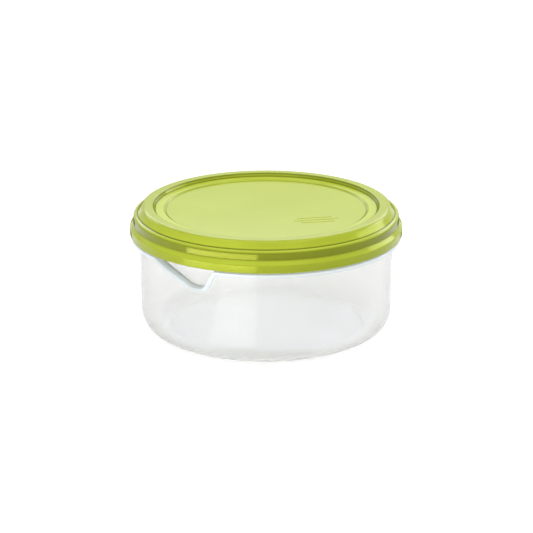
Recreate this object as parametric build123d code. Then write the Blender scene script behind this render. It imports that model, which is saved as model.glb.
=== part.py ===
from build123d import *
import os

# Round snap-lid food container, about one litre, made of two mouldings:
#   container - clear bowl with a shelf-like flange that dips to make a thumb gap
#   lid       - green lid with a stepped skirt, a snap rib and a plug lip
# Millimetres, +Z up. The origin is the centre of the base, on the surface it stands on.
# The thumb gap faces -Y.

# Driving dimensions
LID_RADIUS = 80.0
HEIGHT = 74.5
WALL = 1.2
LID_WALL = 1.25

# Container
BASE_CORNER_RADIUS = 12.0
BASE_RADIUS = 74.1            # outer wall carried down to the base plane
NECK_RADIUS = 74.6            # outer wall from the flange up to the rim
FOOT_INNER_RADIUS = 57.5
FOOT_STEP = 1.5               # width of the slope up from the foot ring
FOOT_RECESS = 0.3
FLOOR_TOP = 1.3
RIM_TOP = 69.7
RIM_BEAD_RADIUS = 75.5
RIM_BEAD_Z = 67.6
WALL_BLEND = 20.0             # radius where the wall's taper changes at the flange
EDGE = 0.4                    # rounding of the mouldings' edges

# Flange under the lid's skirt
FLANGE_RADIUS = 79.4
FLANGE_TOP = 56.9
FLANGE_DEPTH = 2.2
FLANGE_ROOT = NECK_RADIUS - WALL / 2

# Thumb dip in the flange, drawn as seen from the front at the flange's edge: x, z and corner radii.
# Its upper edge has a long gentle leg, a rounded bottom and a short steep leg.
DIP_UPPER = [(-49.0, 62.0), (-12.1, 49.75), (-3.4, 45.8), (4.8, 45.45), (14.0, 62.6)]
DIP_UPPER_RADII = [20, 9, 4.6]
DIP_LOWER = [(-49.0, 59.7), (-12.8, 47.65), (-4.2, 43.65), (6.2, 43.25), (16.4, 62.4)]
DIP_LOWER_RADII = [20, 10, 6.5]
DIP_DEPTH = 22.0              # from the flange's top to below the whole dip
RAY_Z = FLANGE_TOP + 1.0      # the dip's faces run towards the axis at this height
RAY_NEAR = NECK_RADIUS - 8    # they are drawn from inside the wall
RAY_FAR = FLANGE_RADIUS + 16  # to outside the flange

# Lid
SKIRT_BOTTOM = 57.85
PANEL_TOP = 71.4
LEDGE_TOP = 72.25
SNAP_RIB_RADIUS = 75.8        # as stretched over the rim bead, so it clears the bead by 0.3
PLUG_RADIUS = 72.8
PLUG_LIP = 0.35
PLUG_THICKNESS = 1.1
PLUG_BOTTOM = 65.6

# Raised mark on the lid's panel
MARK_MIDDLE = (36.1, -4.6)
MARK_ANGLE = 42.0             # degrees from +X to the bars' length
MARK_PITCH = 4.2
MARK_LENGTHS = (20.0, 27.0, 20.0)
MARK_WIDTH = 1.6
MARK_HEIGHT = 0.25
MARK_ROOT = 0.2               # how far the bars reach into the panel


def turned(points, radii):
    """Solid of revolution about Z from an outline that starts and ends on the axis."""
    with BuildPart() as part:
        with BuildSketch(Plane.XZ):
            with BuildLine():
                outline = FilletPolyline(*points, radius=radii)
                Line(outline @ 1, outline @ 0)
            make_face()
        revolve(axis=Axis.Z)
    return part.part


def bowl():
    """Base, wall and rim of the container, without its flange."""
    inner = NECK_RADIUS - WALL
    corners = [
        # underside and outside
        ((0, FOOT_RECESS), None),
        ((FOOT_INNER_RADIUS - FOOT_STEP, FOOT_RECESS), 0.5),
        ((FOOT_INNER_RADIUS, 0), 0.3),
        ((BASE_RADIUS, 0), BASE_CORNER_RADIUS),
        ((NECK_RADIUS, FLANGE_TOP), WALL_BLEND),
        # rim with its bead
        ((NECK_RADIUS, RIM_BEAD_Z - 1.5), 0.3),
        ((RIM_BEAD_RADIUS, RIM_BEAD_Z - EDGE), EDGE),
        ((RIM_BEAD_RADIUS, RIM_BEAD_Z + EDGE), EDGE),
        ((NECK_RADIUS - 0.1, RIM_TOP), EDGE),
        ((inner, RIM_TOP), EDGE),
        # inside
        ((inner, FLANGE_TOP), WALL_BLEND),
        ((BASE_RADIUS - WALL, FLOOR_TOP), BASE_CORNER_RADIUS - WALL),
        ((0, FLOOR_TOP), None),
    ]
    return turned([point for point, radius in corners], [radius for point, radius in corners[1:-1]])


def ray_face(points, radii, distance):
    """Outline below RAY_Z, drawn for the flange's edge, on the plane at this distance in front."""
    grow = distance / FLANGE_RADIUS
    ceiling = 8.0
    drawn = [(x * grow, (z - RAY_Z) * grow) for x, z in points]
    with BuildSketch(Plane(origin=(0, -distance, RAY_Z), x_dir=(1, 0, 0), z_dir=(0, -1, 0))) as face:
        with BuildLine():
            FilletPolyline(*drawn, radius=[radius * grow for radius in radii])
            Polyline(
                drawn[-1],
                (drawn[-1][0], ceiling * grow),
                (drawn[0][0], ceiling * grow),
                drawn[0],
            )
        make_face()
    return face.sketch


def along_rays(points, radii):
    """Solid between two such faces, so its sides run towards the axis at RAY_Z."""
    near = ray_face(points, radii, RAY_NEAR)
    far = ray_face(points, radii, RAY_FAR)
    return loft([near, far], ruled=True)


def upright(radius, bottom, top):
    """Cylinder about Z between two heights."""
    return Pos(0, 0, bottom) * Cylinder(radius, top - bottom, align=(Align.CENTER, Align.CENTER, Align.MIN))


def flange():
    """Shelf round the container, dipping at the front to leave a gap for the thumb."""
    dip_bottom = FLANGE_TOP - DIP_DEPTH
    ring = upright(FLANGE_RADIUS, FLANGE_TOP - FLANGE_DEPTH, FLANGE_TOP)
    shelf = along_rays(DIP_LOWER, DIP_LOWER_RADII) & upright(FLANGE_RADIUS, dip_bottom, FLANGE_TOP)
    room = along_rays(DIP_UPPER, DIP_UPPER_RADII)
    inside = upright(FLANGE_ROOT, dip_bottom, HEIGHT)
    return (ring + shelf) - room - inside


def container():
    return bowl() + flange()


def lid_shell():
    """Panel, ledge, top ring, stepped skirt with snap rib, and plug lip."""
    bore = PLUG_RADIUS - PLUG_THICKNESS
    corners = [
        # upper side, from the middle outwards
        ((0, PANEL_TOP), None),
        ((58.6, PANEL_TOP), 0.6),
        ((59.7, LEDGE_TOP), 0.6),
        ((64.9, LEDGE_TOP), 0.5),
        ((66.4, HEIGHT), 0.7),
        ((72.3, HEIGHT), 2.6),
        ((75.5, 70.1), 0.3),
        ((77.8, 69.8), 1.8),
        ((77.9, 64.9), 0.7),
        ((LID_RADIUS, 62.4), 1.0),
        # rim of the skirt
        ((LID_RADIUS, SKIRT_BOTTOM), EDGE),
        ((LID_RADIUS - LID_WALL, SKIRT_BOTTOM), EDGE),
        # inner side of the skirt, with the snap rib
        ((LID_RADIUS - LID_WALL, 62.1), 0.8),
        ((76.7, 64.8), 0.3),
        ((SNAP_RIB_RADIUS, 65.3), 0.3),
        ((SNAP_RIB_RADIUS, 65.9), 0.3),
        ((76.55, 66.6), 0.3),
        ((76.55, 69.1), 0.6),
        ((75.3, 69.1), 0.3),
        ((PLUG_RADIUS, 72.0), EDGE),
        # plug lip, whose edge wipes the inside of the container's mouth
        ((PLUG_RADIUS, PLUG_BOTTOM + 2.2), EDGE),
        ((PLUG_RADIUS + PLUG_LIP, PLUG_BOTTOM + 1.3), EDGE),
        ((PLUG_RADIUS - 0.3, PLUG_BOTTOM), 0.3),
        ((bore, PLUG_BOTTOM), 0.3),
        ((bore, HEIGHT - LID_WALL), 0.8),
        # under the ring, the ledge and the panel
        ((67.1, HEIGHT - LID_WALL), 0.8),
        ((65.55, LEDGE_TOP - LID_WALL), 0.6),
        ((60.2, LEDGE_TOP - LID_WALL), 0.6),
        ((59.1, PANEL_TOP - LID_WALL), 0.6),
        ((0, PANEL_TOP - LID_WALL), None),
    ]
    return turned([point for point, radius in corners], [radius for point, radius in corners[1:-1]])


def mark():
    """Three short raised bars side by side, a plain moulded mark."""
    bars = []
    for index, length in enumerate(MARK_LENGTHS):
        bar = extrude(SlotOverall(length, MARK_WIDTH), amount=MARK_ROOT + MARK_HEIGHT)
        place = Pos(*MARK_MIDDLE, PANEL_TOP - MARK_ROOT) * Rot(0, 0, MARK_ANGLE)
        bars.append(place * Pos(0, (index - 1) * MARK_PITCH, 0) * bar)
    return bars


def lid():
    shell = lid_shell()
    for bar in mark():
        shell = shell + bar
    return shell


os.makedirs("parts", exist_ok=True)
for name, make in {"container": container, "lid": lid}.items():
    shape = make()
    shape.label = name
    export_step(shape, f"parts/{name}.step")
    print(name, "volume", round(shape.volume), "solids", len(shape.solids()), "valid", shape.is_valid)
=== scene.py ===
import math

import bmesh
import bpy
import numpy as np
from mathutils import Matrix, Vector

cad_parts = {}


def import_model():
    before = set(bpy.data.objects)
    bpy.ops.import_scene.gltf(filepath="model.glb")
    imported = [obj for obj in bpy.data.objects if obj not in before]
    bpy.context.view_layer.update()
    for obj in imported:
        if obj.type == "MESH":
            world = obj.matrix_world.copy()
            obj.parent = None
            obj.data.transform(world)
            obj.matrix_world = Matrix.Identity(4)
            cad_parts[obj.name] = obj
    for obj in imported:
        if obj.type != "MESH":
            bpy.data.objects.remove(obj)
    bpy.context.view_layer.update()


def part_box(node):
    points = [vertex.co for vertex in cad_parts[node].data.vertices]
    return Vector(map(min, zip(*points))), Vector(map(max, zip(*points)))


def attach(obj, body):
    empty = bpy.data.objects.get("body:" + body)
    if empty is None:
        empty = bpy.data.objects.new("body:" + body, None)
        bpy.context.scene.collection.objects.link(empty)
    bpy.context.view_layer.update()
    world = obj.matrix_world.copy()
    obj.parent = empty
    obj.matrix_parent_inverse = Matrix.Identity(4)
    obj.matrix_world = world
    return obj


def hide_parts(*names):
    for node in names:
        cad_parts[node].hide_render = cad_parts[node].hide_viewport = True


# Round snap-lid food container: a clear, slightly milky bowl under a lime-green lid.
# The outlines are in millimetres, and MM turns them into the scene's metres.
# +Z is up, the origin is the centre of the base, and the thumb gap faces -Y.

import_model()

# ------------------------------------------------------------------ sizes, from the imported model
MM = 0.001
container_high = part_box("container")[1] / MM
lid_low, lid_high = [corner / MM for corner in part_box("lid")]

FLANGE_RADIUS = container_high.x
RIM_TOP = container_high.z
LID_RADIUS = lid_high.x
SKIRT_BOTTOM = lid_low.z
HEIGHT = lid_high.z

EDGE = 0.4                            # rounding of the mouldings' edges

WALL = 1.2
WALL_BLEND = 20.0                     # radius where the wall's taper changes at the flange
NECK_RADIUS = FLANGE_RADIUS - 4.8     # outer wall from the flange up to the rim
BASE_RADIUS = NECK_RADIUS - 0.5       # outer wall carried down to the base plane
BASE_CORNER = 12.0
FOOT_INNER_RADIUS = 57.5
FOOT_STEP = 1.5                       # width of the slope up from the foot ring
FOOT_RECESS = 0.3
FLOOR_TOP = FOOT_RECESS + 1.0
BEAD_RADIUS = NECK_RADIUS + 0.9
BEAD_Z = RIM_TOP - 2.1

FLANGE_TOP = SKIRT_BOTTOM - 0.95
FLANGE_DEPTH = 2.2
FLANGE_EDGE = 0.45                    # rounding of the flange's edge
FLANGE_ROOT = 0.5                     # hollow between the flange's top and the wall
FLANGE_COVE = 1.5                     # hollow between the flange's underside and the wall
RAY_Z = FLANGE_TOP + 1.0              # the flange's faces run towards the axis at this height

# Thumb dip: x and z of its upper edge, seen from the front at the flange's edge. The first and
# last points lie above the flange's top, where the legs are cut off.
DIP = [(-49.0, 62.0), (-12.1, 49.75), (-3.4, 45.8), (4.8, 45.45), (14.0, 62.6)]
DIP_RADII = [15.0, 20.0, 9.0, 4.6, 3.0]
DIP_BELOW = 36.0                      # a level below the whole dip
# distance between columns along the flange's edge: from the back to the dip, along the dip's four
# stretches, and on to the back
COLUMN_SPACING = [1.4, 1.25, 1.1, 0.9, 1.0, 1.4]
WALL_SHARES = (0.25, 0.5, 0.75)       # where the extra rows lie on the wall below and above the flange

LID_WALL = 1.25
PANEL_TOP = HEIGHT - 3.1
LEDGE_TOP = HEIGHT - 2.25
SHELF = HEIGHT - 4.4                  # top of the upper band
SNAP_RIB_RADIUS = LID_RADIUS - 4.2
PLUG_RADIUS = LID_RADIUS - 7.2
PLUG_LIP = 0.35
PLUG_THICKNESS = 1.1
PLUG_BOTTOM = HEIGHT - 8.9

# Three raised bars on the panel, a plain moulded mark.
MARK_MIDDLE = (36.1, -4.6)
MARK_ANGLE = math.radians(42.0)
MARK_PITCH = 4.2
MARK_LENGTHS = (20.0, 27.0, 20.0)
MARK_WIDTH = 1.6
MARK_HEIGHT = 0.25
# across a bar's side, from the panel inwards: distance outside the bar's edge, height above the panel
MARK_SIDE = [(0.7, 0), (0.35, 0), (0.2, 0.01), (0.09, 0.045), (0.03, 0.1), (0, 0.15),
             (-0.05, 0.2), (-0.14, 0.235), (-0.28, MARK_HEIGHT), (-0.45, MARK_HEIGHT)]
MARK_END_STEPS = 12                   # round each end of a bar

ARC_STEP = math.radians(11.25)
SUPPORT = 0.12                        # from an arc's end to the row that keeps the flat beside it flat
LID_COLUMNS = 400


# ------------------------------------------------------------------ outlines
def unit(vector):
    return vector / np.linalg.norm(vector)


def arc(before, corner, after, radius, least_steps=3):
    """Points of the arc that rounds a corner, from the side of before to the side of after."""
    corner = np.array(corner, float)
    back = unit(np.array(before, float) - corner)
    on = unit(np.array(after, float) - corner)
    turn = math.pi - math.acos(np.clip(back @ on, -1, 1))
    inward = unit(back + on)
    along = unit(on - back)
    centre = corner + inward * radius / math.cos(turn / 2)
    steps = max(least_steps, round(turn / ARC_STEP))
    angles = [(k / steps - 0.5) * turn for k in range(steps + 1)]
    return [centre + radius * (along * math.sin(a) - inward * math.cos(a)) for a in angles]


def rounded(corners):
    """Outline through (x, z) or (x, z, radius) corners, with support rows beside each arc."""
    runs = []
    for i, corner in enumerate(corners):
        if len(corner) == 2:
            runs.append([np.array(corner, float)])
        else:
            runs.append(arc(corners[i - 1][:2], corner[:2], corners[i + 1][:2], corner[2]))
    points = []
    for i, run in enumerate(runs):
        if i and len(run) > 1 and np.linalg.norm(run[0] - points[-1]) > 3 * SUPPORT:
            points.append(run[0] + unit(points[-1] - run[0]) * SUPPORT)
        points += run
        if i + 1 < len(runs) and len(run) > 1 and np.linalg.norm(runs[i + 1][0] - run[-1]) > 3 * SUPPORT:
            points.append(run[-1] + unit(runs[i + 1][0] - run[-1]) * SUPPORT)
    return np.array(points)


def ring(radii, heights, azimuths):
    """Row of points about the axis, in metres. Azimuth 0 is the front, -Y."""
    points = np.zeros((len(azimuths), 3))
    points[:, 0] = radii * np.sin(azimuths)
    points[:, 1] = -radii * np.cos(azimuths)
    points[:, 2] = heights
    return points * MM


def skin(rows, start_pole=None, end_pole=None):
    """Quads between closed rows of points, fanned to a pole at either end where one is given."""
    mesh = bmesh.new()
    verts = [[mesh.verts.new(point) for point in row] for row in rows]
    count = len(verts[0])
    for lower, upper in zip(verts, verts[1:]):
        for j in range(count):
            k = (j + 1) % count
            mesh.faces.new((lower[j], lower[k], upper[k], upper[j]))
    for pole, row in ((start_pole, verts[0]), (end_pole, verts[-1])):
        if pole is not None:
            tip = mesh.verts.new(pole)
            for j in range(count):
                mesh.faces.new((tip, row[j], row[(j + 1) % count]))
    return mesh, verts


def finish_piece(name, mesh, material, body, node):
    """Turn the bmesh into the piece that stands for a CAD node."""
    bmesh.ops.recalc_face_normals(mesh, faces=mesh.faces)
    data = bpy.data.meshes.new(name)
    mesh.to_mesh(data)
    mesh.free()
    data.shade_smooth()
    data.materials.append(material)
    piece = bpy.data.objects.new(name, data)
    bpy.context.scene.collection.objects.link(piece)
    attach(piece, body)
    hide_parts(node)


# ------------------------------------------------------------------ container
def wall_radius(z):
    """Outside of the container's wall, which tapers up to the flange and is straight above it."""
    return BASE_RADIUS + (NECK_RADIUS - BASE_RADIUS) * np.minimum(z, FLANGE_TOP) / FLANGE_TOP


def unrolled(x, z):
    """Where a point of the dip's front view lies on the flange's edge: arc length and height."""
    azimuth = math.atan2(x, FLANGE_RADIUS)
    return FLANGE_RADIUS * azimuth, RAY_Z + (z - RAY_Z) * math.cos(azimuth)


def crossing(outer, inner):
    """Where the line of a leg of the dip reaches the flange's top."""
    share = (FLANGE_TOP - inner[1]) / (outer[1] - inner[1])
    return inner[0] + share * (outer[0] - inner[0]), FLANGE_TOP


def flange_corners():
    """Corners of the flange's upper edge from the back, round past the dip, to the back again."""
    inner = [unrolled(*point) for point in DIP]
    half_turn = math.pi * FLANGE_RADIUS
    ends = [(-half_turn, FLANGE_TOP), (half_turn, FLANGE_TOP)]
    legs = [crossing(inner[0], inner[1]), crossing(inner[4], inner[3])]
    return np.array([ends[0], legs[0], *inner[1:4], legs[1], ends[1]])


def flange_line(below):
    """The flange's edge all round, this far below its upper edge: arc length and height of each column."""
    corners = flange_corners()
    runs = np.diff(corners, axis=0)
    runs /= np.linalg.norm(runs, axis=1)[:, None]
    down = np.stack([runs[:, 1], -runs[:, 0]], axis=1)
    moved = corners.copy()
    moved[0] += below * down[0]
    moved[-1] += below * down[-1]
    for i in range(1, len(corners) - 1):
        moved[i] += below * (down[i - 1] + down[i]) / (1 + down[i - 1] @ down[i])
    points = [moved[:1]]
    for i in range(1, len(corners)):
        if i < len(corners) - 1:
            rises = runs[i - 1][0] * runs[i][1] - runs[i - 1][1] * runs[i][0] > 0
            radius = max(1.2, DIP_RADII[i - 1] + (below if rises else -below))
            bend = np.array(arc(moved[i - 1], moved[i], moved[i + 1], radius, least_steps=4))
        else:
            bend = moved[-1:]
        count = max(2, round(np.linalg.norm(corners[i] - corners[i - 1]) / COLUMN_SPACING[i - 1]))
        shares = np.arange(1, count)[:, None] / count
        points += [points[-1][-1] * (1 - shares) + bend[0] * shares, bend]
    line = np.vstack(points)[:-1]
    return line[:, 0], line[:, 1]


def below_dip():
    """Outline of the underside and the wall up to DIP_BELOW."""
    return rounded([
        (0, FOOT_RECESS),
        (FOOT_INNER_RADIUS - FOOT_STEP, FOOT_RECESS, 0.5),
        (FOOT_INNER_RADIUS, 0, 0.3),
        (BASE_RADIUS, 0, BASE_CORNER),
        (wall_radius(DIP_BELOW), DIP_BELOW),
    ])


def above_flange():
    """Outline of the rim with its bead, and of the inside down to the floor's middle."""
    inner = NECK_RADIUS - WALL
    bead_foot = BEAD_Z - 1.5
    return rounded([
        (NECK_RADIUS, bead_foot - 0.6),
        (NECK_RADIUS, bead_foot, 0.3),
        (BEAD_RADIUS, BEAD_Z - EDGE, EDGE),
        (BEAD_RADIUS, BEAD_Z + EDGE, EDGE),
        (NECK_RADIUS - 0.1, RIM_TOP, EDGE),
        (inner, RIM_TOP, EDGE),
        (inner, FLANGE_TOP, WALL_BLEND),
        (BASE_RADIUS - WALL, FLOOR_TOP, BASE_CORNER - WALL),
        (0, FLOOR_TOP),
    ])


def flange_rows():
    """Distances from the axis, heights and azimuths of the rows over the flange, from below it."""
    wall_there = wall_radius(FLANGE_TOP)
    # distance from the axis, and distance below the flange's upper edge
    section = rounded([
        (wall_there, FLANGE_DEPTH + FLANGE_COVE + 0.4),
        (wall_there, FLANGE_DEPTH, FLANGE_COVE),
        (FLANGE_RADIUS, FLANGE_DEPTH, FLANGE_EDGE),
        (FLANGE_RADIUS, 0, FLANGE_EDGE),
        (wall_there, 0, FLANGE_ROOT),
        (wall_there, -FLANGE_ROOT - 0.3),
    ])
    rows = []
    for radius, below in section:
        arcs, heights = flange_line(below)
        out = (radius - wall_there) / (FLANGE_RADIUS - wall_there)
        wall = wall_radius(heights)
        radii = wall + out * (FLANGE_RADIUS - wall)
        rows.append((radii, RAY_Z + (heights - RAY_Z) * radii / FLANGE_RADIUS, arcs / FLANGE_RADIUS))
    return rows


def wall_rows(lower, upper, azimuths):
    """Rows on the wall's outside between two heights, which may differ from column to column."""
    levels = [lower + share * (upper - lower) for share in WALL_SHARES]
    return [ring(wall_radius(z), z, azimuths) for z in levels]


def container_rows():
    """Rows from the underside's middle, out and up over the flange, over the rim and down the inside."""
    flange = flange_rows()
    first_heights, first_azimuths = flange[0][1:]
    last_heights, last_azimuths = flange[-1][1:]
    upper = above_flange()
    rows = [ring(radius, z, first_azimuths) for radius, z in below_dip()[1:]]
    rows += wall_rows(DIP_BELOW, first_heights, first_azimuths)
    rows += [ring(*row) for row in flange]
    rows += wall_rows(last_heights, upper[0][1], last_azimuths)
    rows += [ring(radius, z, last_azimuths) for radius, z in upper[:-1]]
    return rows


def container(material):
    mesh, _ = skin(container_rows(), (0, 0, FOOT_RECESS * MM), (0, 0, FLOOR_TOP * MM))
    finish_piece("container_bowl", mesh, material, "container", "container")


# ------------------------------------------------------------------ lid
def lid_outline():
    """From the panel's upper side out over the ring, down the skirt, up its inside and back to the axis."""
    bore = PLUG_RADIUS - PLUG_THICKNESS
    skirt_inside = LID_RADIUS - LID_WALL
    groove = skirt_inside - 2.2
    return rounded([
        (LID_RADIUS - 23.0, PANEL_TOP),
        (LID_RADIUS - 21.4, PANEL_TOP, 0.6),
        (LID_RADIUS - 20.3, LEDGE_TOP, 0.6),
        (LID_RADIUS - 15.1, LEDGE_TOP, 0.5),
        (LID_RADIUS - 13.6, HEIGHT, 0.7),
        (LID_RADIUS - 7.7, HEIGHT, 2.6),
        (LID_RADIUS - 4.5, SHELF, 0.3),
        (LID_RADIUS - 2.2, SHELF - 0.3, 1.8),
        (LID_RADIUS - 2.1, HEIGHT - 9.6, 0.7),
        (LID_RADIUS, HEIGHT - 12.1, 1.0),
        # rim of the skirt
        (LID_RADIUS, SKIRT_BOTTOM, EDGE),
        (skirt_inside, SKIRT_BOTTOM, EDGE),
        # inside of the skirt, with the snap rib
        (skirt_inside, HEIGHT - 12.4, 0.8),
        (LID_RADIUS - 3.3, HEIGHT - 9.7, 0.3),
        (SNAP_RIB_RADIUS, HEIGHT - 9.2, 0.3),
        (SNAP_RIB_RADIUS, HEIGHT - 8.6, 0.3),
        (groove, HEIGHT - 7.9, 0.3),
        (groove, HEIGHT - 5.4, 0.6),
        (groove - 1.25, HEIGHT - 5.4, 0.3),
        (PLUG_RADIUS, HEIGHT - 2.5, EDGE),
        # plug lip
        (PLUG_RADIUS, PLUG_BOTTOM + 2.2, EDGE),
        (PLUG_RADIUS + PLUG_LIP, PLUG_BOTTOM + 1.3, EDGE),
        (PLUG_RADIUS - 0.3, PLUG_BOTTOM, 0.3),
        (bore, PLUG_BOTTOM, 0.3),
        # underside of the ring, the ledge and the panel
        (bore, HEIGHT - LID_WALL, 0.8),
        (LID_RADIUS - 12.9, HEIGHT - LID_WALL, 0.8),
        (LID_RADIUS - 14.45, LEDGE_TOP - LID_WALL, 0.6),
        (LID_RADIUS - 19.8, LEDGE_TOP - LID_WALL, 0.6),
        (LID_RADIUS - 20.9, PANEL_TOP - LID_WALL, 0.6),
        (0, PANEL_TOP - LID_WALL),
    ])


def bar_loop(index, length, outside, height):
    """Stadium round one bar of the mark, this far outside its edge and above the panel, in metres."""
    radius = MARK_WIDTH / 2 + outside
    half = (length - MARK_WIDTH) / 2
    cos, sin = math.cos(MARK_ANGLE), math.sin(MARK_ANGLE)
    points = []
    for side in (1, -1):
        for k in range(MARK_END_STEPS + 1):
            a = math.pi * (k / MARK_END_STEPS - 0.5)
            x = side * (half + radius * math.cos(a))
            y = side * radius * math.sin(a) + (index - 1) * MARK_PITCH
            place = (MARK_MIDDLE[0] + x * cos - y * sin, MARK_MIDDLE[1] + x * sin + y * cos)
            points.append(Vector((*place, PANEL_TOP + height)) * MM)
    return points


def add_mark(mesh, panel_edge):
    """Close the panel inside panel_edge, with the raised bars standing on it."""
    edges = [mesh.edges.get((panel_edge[j - 1], panel_edge[j])) for j in range(len(panel_edge))]
    for index, length in enumerate(MARK_LENGTHS):
        loops = [[mesh.verts.new(p) for p in bar_loop(index, length, *step)] for step in MARK_SIDE]
        count = len(loops[0])
        for outer, inner in zip(loops, loops[1:]):
            for j in range(count):
                k = (j + 1) % count
                mesh.faces.new((outer[j], outer[k], inner[k], inner[j]))
        mesh.faces.new(loops[-1])
        edges += [mesh.edges.get((loops[0][j - 1], loops[0][j])) for j in range(count)]
    bmesh.ops.triangle_fill(mesh, use_beauty=True, use_dissolve=False, edges=edges, normal=(0, 0, 1))


def lid(material):
    azimuths = np.linspace(0, 2 * math.pi, LID_COLUMNS, endpoint=False)
    outline = lid_outline()
    rows = [ring(radius, z, azimuths) for radius, z in outline[:-1]]
    mesh, verts = skin(rows, end_pole=(0, 0, outline[-1][1] * MM))
    add_mark(mesh, verts[0])
    finish_piece("lid_shell", mesh, material, "lid", "lid")


# ------------------------------------------------------------------ materials
LIME = ((0.374, 0.441, 0.033), (0.404, 0.480, 0.041))
LIME_REFLECTION = (0.84, 0.90, 0.12)
LIME_SCATTER = (0.6, 1.0, 0.15)       # how far red, green and blue light spread, relative to the scale
LIME_CLOUDS = 22.0                    # scales of the noise in colour and in roughness
LIME_GRAIN = 700.0
LIME_ROUGHNESS = (0.08, 0.15)
# Painted shade and painted light on the lid's colour, as factors by height in millimetres: dim on the
# skirt, lighter on the bend above it, darkest on the band in front of the container's rim, lightest above
# the band.
LID_PAINTED_SHADES = [
    (58.2, 0.80), (61.9, 0.84), (62.9, 1.12), (64.3, 1.12),
    (65.2, 0.50), (68.6, 0.54),
    (70.2, 1.26), (72.0, 1.12), (HEIGHT, 1.06),
]
# The same by distance from the axis: painted shade as dark lines in the creases, with painted highlights on
# a lighter side.
GROOVES_FROM = 55.0
GROOVE_PAINTED_SHADES = [
    # panel's edge and the step up to the ledge
    (58.15, 1.0), (58.55, 0.55), (58.95, 1.0), (59.45, 1.12), (59.85, 0.60), (60.3, 1.2),
    # step up to the ring
    (64.5, 1.2), (64.95, 0.50), (65.2, 0.58), (65.6, 1.05), (65.95, 0.60), (66.3, 0.58), (66.8, 1.0),
    # crease between the ring and the band
    (75.0, 1.0), (75.45, 0.32), (75.9, 0.55), (76.2, 1.1), (77.2, 1.1), (77.6, 1.0),
]
# Where the lid is seen edge-on, painted shade dims its colour to the edge-on factor below, and its
# reflections fade from LID_SHINE to nothing. Both ranges run from 0, seen square on, to 1, seen edge-on.
EDGE_ON_PAINTED_SHADE = 0.55
EDGE_ON_PAINTED_SHADE_RANGE = (0.76, 0.97)
LID_SHINE = 0.60
SHINE_FADES = (0.71, 0.86)

MILK = ((0.935, 0.940, 0.930), (0.955, 0.957, 0.946))
MILK_CLOUDS = 16.0
MILK_GRAIN = 500.0
MILK_ROUGHNESS = (0.08, 0.16)
WALL_CLARITY = 0.90
FLANGE_CLARITY = 0.42                 # the thicker flange looks milkier
FLANGE_TONE = (0.60, 0.65, 0.69)      # factor on its colour, darker to offset the painted glow
FLANGE_PAINTED_GLOW = 0.22                    # painted glow on the flange, though it is no lamp: it lightens the shade the lid leaves on it
PAINTED_GLOW_COLOUR = (0.95, 0.98, 1.0)
FLANGE_START = (0.1, 1.0)             # millimetres out from the neck, over which its look comes in

WAVES = 45.0                          # scale of the gentle moulding waves
WAVE_DEPTH = 0.0004

# sockets of a Mix node that mixes colours
MIX_FACTOR, MIX_A, MIX_B = 0, 6, 7
MIX_RESULT = 2


def new_material(name):
    material = bpy.data.materials.new(name)
    material.use_nodes = True
    tree = material.node_tree
    tree.nodes.clear()
    return material, tree


def node(tree, kind, **values):
    """Shader node with these socket values, or properties where it has no such socket."""
    made = tree.nodes.new(kind)
    for key, value in values.items():
        if key in made.inputs:
            made.inputs[key].default_value = value
        else:
            setattr(made, key, value)
    return made


def noise(tree, coordinates, scale, detail, roughness=0.5):
    made = node(tree, "ShaderNodeTexNoise", Scale=scale, Detail=detail, Roughness=roughness)
    tree.links.new(coordinates, made.inputs["Vector"])
    return made.outputs["Fac"]


def spread(tree, value, low, high, from_low=0.3, from_high=0.7):
    """Map from_low...from_high, which starts out as a noise's middle range, to low...high."""
    made = node(tree, "ShaderNodeMapRange")
    made.inputs["From Min"].default_value = from_low
    made.inputs["From Max"].default_value = from_high
    made.inputs["To Min"].default_value = low
    made.inputs["To Max"].default_value = high
    tree.links.new(value, made.inputs["Value"])
    return made.outputs["Result"]


def ramp(tree, value, *stops):
    """Colour by value, through stops of a place and a colour."""
    made = node(tree, "ShaderNodeValToRGB")
    elements = made.color_ramp.elements
    while len(elements) < len(stops):
        elements.new(0.5)
    for element, (place, colour) in zip(elements, stops):
        element.position = place
        element.color = (*colour, 1)
    tree.links.new(value, made.inputs["Fac"])
    return made.outputs["Color"]


def multiply(tree, colour, other):
    """Product of two colours, or of a colour and a grey value."""
    made = node(tree, "ShaderNodeMix", data_type="RGBA", blend_type="MULTIPLY")
    made.inputs[MIX_FACTOR].default_value = 1.0
    tree.links.new(colour, made.inputs[MIX_A])
    tree.links.new(other, made.inputs[MIX_B])
    return made.outputs[MIX_RESULT]


def reach(tree, coordinates):
    """Distance from the axis."""
    flat = node(tree, "ShaderNodeVectorMath", operation="MULTIPLY")
    flat.inputs[1].default_value = (1, 1, 0)
    tree.links.new(coordinates, flat.inputs[0])
    length = node(tree, "ShaderNodeVectorMath", operation="LENGTH")
    tree.links.new(flat.outputs[0], length.inputs[0])
    return length.outputs["Value"]


def painted_shade_along(tree, distance, shades, start, end):
    """Grey value of painted shade and painted light by a distance, through stops between start and end in
    millimetres.
    """
    share = spread(tree, distance, 0, 1, start * MM, end * MM)
    return ramp(tree, share, *[((place - start) / (end - start), (shade,) * 3) for place, shade in shades])


def plastic(name, refraction):
    """Material with a Principled shader, and the place on the object to work its looks out from."""
    material, tree = new_material(name)
    shader = node(tree, "ShaderNodeBsdfPrincipled", IOR=refraction)
    out = node(tree, "ShaderNodeOutputMaterial")
    tree.links.new(shader.outputs[0], out.inputs[0])
    return material, tree, shader, node(tree, "ShaderNodeTexCoord").outputs["Object"]


def moulding_waves(tree, shader, coordinates, strength):
    bump = node(tree, "ShaderNodeBump", Strength=strength, Distance=WAVE_DEPTH)
    tree.links.new(noise(tree, coordinates, WAVES, 2.0), bump.inputs["Height"])
    tree.links.new(bump.outputs[0], shader.inputs["Normal"])


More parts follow.
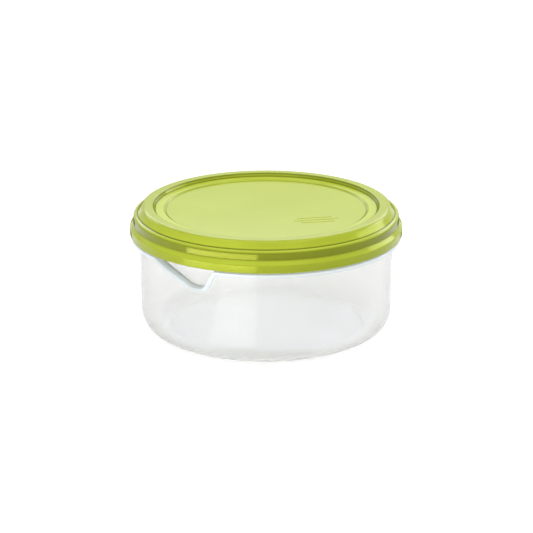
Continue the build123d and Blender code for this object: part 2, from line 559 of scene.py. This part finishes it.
def lid_material():
    """Glossy lime-green moulded plastic, with painted shade and painted light in its colour by height, in
    its creases and where it is edge-on.
    """
    material, tree, shader, coordinates = plastic("lime_plastic", refraction=1.45)
    place = node(tree, "ShaderNodeSeparateXYZ")
    tree.links.new(coordinates, place.inputs[0])
    # Painted shade and painted light: the colour darkens and lightens by height.
    painted_shade_by_height = painted_shade_along(tree, place.outputs["Z"], LID_PAINTED_SHADES, SKIRT_BOTTOM, HEIGHT)
    # Painted shade in the creases and painted highlights beside them, which also scale the reflections'
    # strength.
    crease_painted_shade = painted_shade_along(tree, reach(tree, coordinates), GROOVE_PAINTED_SHADES, GROOVES_FROM, LID_RADIUS)
    edge_on = node(tree, "ShaderNodeLayerWeight", Blend=0.5).outputs["Facing"]
    # Painted shade: the colour darkens where the lid is seen edge-on.
    edge_on_painted_shade = ramp(tree, edge_on, (EDGE_ON_PAINTED_SHADE_RANGE[0], (1, 1, 1)), (EDGE_ON_PAINTED_SHADE_RANGE[1], (EDGE_ON_PAINTED_SHADE,) * 3))
    lime = ramp(tree, noise(tree, coordinates, LIME_CLOUDS, 3.0), (0.3, LIME[0]), (0.7, LIME[1]))
    for shade in (painted_shade_by_height, crease_painted_shade, edge_on_painted_shade):
        lime = multiply(tree, lime, shade)
    tree.links.new(lime, shader.inputs["Base Color"])
    shine = node(tree, "ShaderNodeMath", operation="MULTIPLY")
    tree.links.new(spread(tree, edge_on, LID_SHINE, 0.0, *SHINE_FADES), shine.inputs[0])
    tree.links.new(crease_painted_shade, shine.inputs[1])
    tree.links.new(shine.outputs[0], shader.inputs["Specular IOR Level"])
    grain = noise(tree, coordinates, LIME_GRAIN, 2.0)
    tree.links.new(spread(tree, grain, *LIME_ROUGHNESS), shader.inputs["Roughness"])
    shader.inputs["Specular Tint"].default_value = (*LIME_REFLECTION, 1)
    shader.inputs["Subsurface Weight"].default_value = 0.2
    shader.inputs["Subsurface Radius"].default_value = LIME_SCATTER
    shader.inputs["Subsurface Scale"].default_value = 0.0015
    moulding_waves(tree, shader, coordinates, 0.03)
    return material


def container_material():
    """Clear plastic with a milky haze, which is thicker on the flange and the rim's bead, where a painted
    glow also lightens it and its colour is darkened to go with the glow.
    """
    material, tree, shader, coordinates = plastic("clear_plastic", refraction=1.46)
    start, end = [(NECK_RADIUS + distance) * MM for distance in FLANGE_START]
    on_flange = spread(tree, reach(tree, coordinates), 0, 1, start, end)
    clarity = spread(tree, on_flange, WALL_CLARITY, FLANGE_CLARITY, 0, 1)
    tree.links.new(clarity, shader.inputs["Transmission Weight"])
    # Painted glow: the flange gives light of its own though it is no lamp.
    shader.inputs["Emission Color"].default_value = (*PAINTED_GLOW_COLOUR, 1)
    tree.links.new(spread(tree, on_flange, 0, FLANGE_PAINTED_GLOW, 0, 1), shader.inputs["Emission Strength"])
    haze = ramp(tree, noise(tree, coordinates, MILK_CLOUDS, 3.0), (0.3, MILK[0]), (0.7, MILK[1]))
    # Darker colour on the flange, to offset its painted glow.
    tone = ramp(tree, on_flange, (0.0, (1, 1, 1)), (1.0, FLANGE_TONE))
    tree.links.new(multiply(tree, haze, tone), shader.inputs["Base Color"])
    grain = noise(tree, coordinates, MILK_GRAIN, 2.0)
    tree.links.new(spread(tree, grain, *MILK_ROUGHNESS), shader.inputs["Roughness"])
    moulding_waves(tree, shader, coordinates, 0.06)
    return material


def glowing(name, glow):
    """Studio surface that also gives light of its own, like a light table."""
    material, tree = new_material(name)
    shader = node(tree, "ShaderNodeBsdfPrincipled", Roughness=0.6)
    shader.inputs["Specular IOR Level"].default_value = 0.1
    shader.inputs["Base Color"].default_value = (*STUDIO_GREY, 1)
    shader.inputs["Emission Color"].default_value = (1, 1, 1, 1)
    shader.inputs["Emission Strength"].default_value = glow
    out = node(tree, "ShaderNodeOutputMaterial")
    tree.links.new(shader.outputs[0], out.inputs[0])
    return material


# ------------------------------------------------------------------ studio
CAMERA_AZIMUTH = math.radians(30.0)
CAMERA_ELEVATION = math.radians(18.53)
CAMERA_DISTANCE = 1.1662
CAMERA_AIM = Vector((0.00016, 0.0001, 0.03544))     # fitted to the photo
CAMERA_LENS = 132.85

STUDIO_GREY = (0.3, 0.3, 0.3)
FLOOR_HALF = 30.0
FLOOR_GLOW = 0.88
# Bright cards lying on the floor, which the lid's band and skirt reflect. They reach round from
# CARD_START, in degrees from the camera's side: name, where it ends, nearest and farthest
# distance from the axis, glow.
CARD_START = -6.6
CARD_RISE = 0.0002                    # above the floor
STUDIO_CARDS = [
    ("near_card", -35, 0.1, 0.238, 1.8),
    ("middle_card", -62, 0.238, 0.268, 3.0),
    ("far_card", -62, 0.268, 0.36, 10.0),
]
# name, azimuth and elevation in degrees, distance, width, height, power
SOFTBOXES = [
    ("top", 30, 80, 1.2, 1.2, 1.2, 6.0),
    ("right", 140, 25, 1.0, 0.8, 0.3, 2.4),
]
# Light from all round, by the height that it comes from: 0 is level, 1 is straight overhead.
TOP_LIGHT = (1.0, 1.0, 1.0)
LIGHT_BEHIND = [
    (0.15, (0.9, 0.9, 0.9)),
    (0.29, (0.80, 0.85, 0.60)),
    (0.35, (2.5, 2.5, 3.2)),
    (0.50, (2.0, 2.0, 2.4)),
    (0.62, (0.5, 0.5, 0.5)),
    (0.85, TOP_LIGHT),
]
LIGHT_AHEAD = [
    (0.35, (0.22, 0.22, 0.22)),
    (0.7, (0.7, 0.7, 0.7)),
    (0.95, TOP_LIGHT),
]
# The light behind passes into the light ahead between these cosines of the angle from a direction
# on the camera's side, tilted down a little.
AHEAD_TILT = math.radians(-10)
AHEAD_BLEND = (-0.97, -0.45)


def direction(azimuth, elevation):
    """From the object towards an azimuth, 0 at the front and 90 degrees at +X, and an elevation."""
    flat = math.cos(elevation)
    return Vector((math.sin(azimuth) * flat, -math.cos(azimuth) * flat, math.sin(elevation)))


def camera():
    data = bpy.data.cameras.new("camera")
    data.sensor_width = 36.0
    data.lens = CAMERA_LENS
    data.clip_start = 0.01
    data.clip_end = 20.0
    made = bpy.data.objects.new("camera", data)
    back = direction(CAMERA_AZIMUTH, CAMERA_ELEVATION)
    made.location = CAMERA_AIM + back * CAMERA_DISTANCE
    made.rotation_mode = "QUATERNION"
    made.rotation_quaternion = (-back).to_track_quat("-Z", "Y")
    bpy.context.scene.collection.objects.link(made)
    bpy.context.scene.camera = made


def softbox(name, azimuth, elevation, distance, width, height, power):
    """Area light aimed at the object, placed by azimuth from the front."""
    data = bpy.data.lights.new(name, "AREA")
    data.shape = "RECTANGLE"
    data.size = width
    data.size_y = height
    data.energy = power
    made = bpy.data.objects.new(name, data)
    towards = direction(math.radians(azimuth), math.radians(elevation))
    made.location = Vector((0, 0, HEIGHT * MM / 2)) + towards * distance
    made.rotation_mode = "QUATERNION"
    made.rotation_quaternion = (-towards).to_track_quat("-Z", "Y")
    bpy.context.scene.collection.objects.link(made)


def stage_sheet(name, points, material):
    """Flat piece of the studio, which isn't part of the object."""
    data = bpy.data.meshes.new(name)
    data.from_pydata(points, [], [range(len(points))])
    data.materials.append(material)
    made = bpy.data.objects.new(name, data)
    bpy.context.scene.collection.objects.link(made)


def world():
    """Soft light all round: brightest fairly low behind the object, dimmest low on the camera's side."""
    made = bpy.data.worlds.new("studio")
    bpy.context.scene.world = made
    made.use_nodes = True
    tree = made.node_tree
    background = tree.nodes["Background"]
    coordinates = node(tree, "ShaderNodeTexCoord").outputs["Generated"]
    front = node(tree, "ShaderNodeVectorMath", operation="DOT_PRODUCT")
    front.inputs[1].default_value = direction(CAMERA_AZIMUTH, AHEAD_TILT)
    tree.links.new(coordinates, front.inputs[0])
    up = node(tree, "ShaderNodeSeparateXYZ")
    tree.links.new(coordinates, up.inputs[0])
    mix = node(tree, "ShaderNodeMix", data_type="RGBA")
    tree.links.new(spread(tree, front.outputs["Value"], 0, 1, *AHEAD_BLEND), mix.inputs[MIX_FACTOR])
    tree.links.new(ramp(tree, up.outputs["Z"], *LIGHT_BEHIND), mix.inputs[MIX_A])
    tree.links.new(ramp(tree, up.outputs["Z"], *LIGHT_AHEAD), mix.inputs[MIX_B])
    tree.links.new(mix.outputs[MIX_RESULT], background.inputs["Color"])


def card(name, end, near, far, glow):
    """Flat piece of a ring about the axis, from CARD_START to end."""
    middle = (CARD_START + end) / 2
    far_side = [(turn, far) for turn in (CARD_START, middle, end)]
    near_side = [(turn, near) for turn in (end, middle)]
    points = []
    for turn, distance in [(CARD_START, near), *far_side, *near_side]:
        spot = direction(CAMERA_AZIMUTH + math.radians(turn), 0) * distance
        points.append((spot.x, spot.y, CARD_RISE))
    stage_sheet(name, points, glowing("studio_" + name, glow))


def studio():
    corners = [(x * FLOOR_HALF, y * FLOOR_HALF, 0) for x, y in ((-1, -1), (1, -1), (1, 1), (-1, 1))]
    stage_sheet("floor", corners, glowing("studio_floor", FLOOR_GLOW))
    for values in STUDIO_CARDS:
        card(*values)
    world()
    for values in SOFTBOXES:
        softbox(*values)

    scene = bpy.context.scene
    scene.view_settings.view_transform = "Standard"
    scene.view_settings.look = "None"


camera()
container(container_material())
lid(lid_material())
studio()
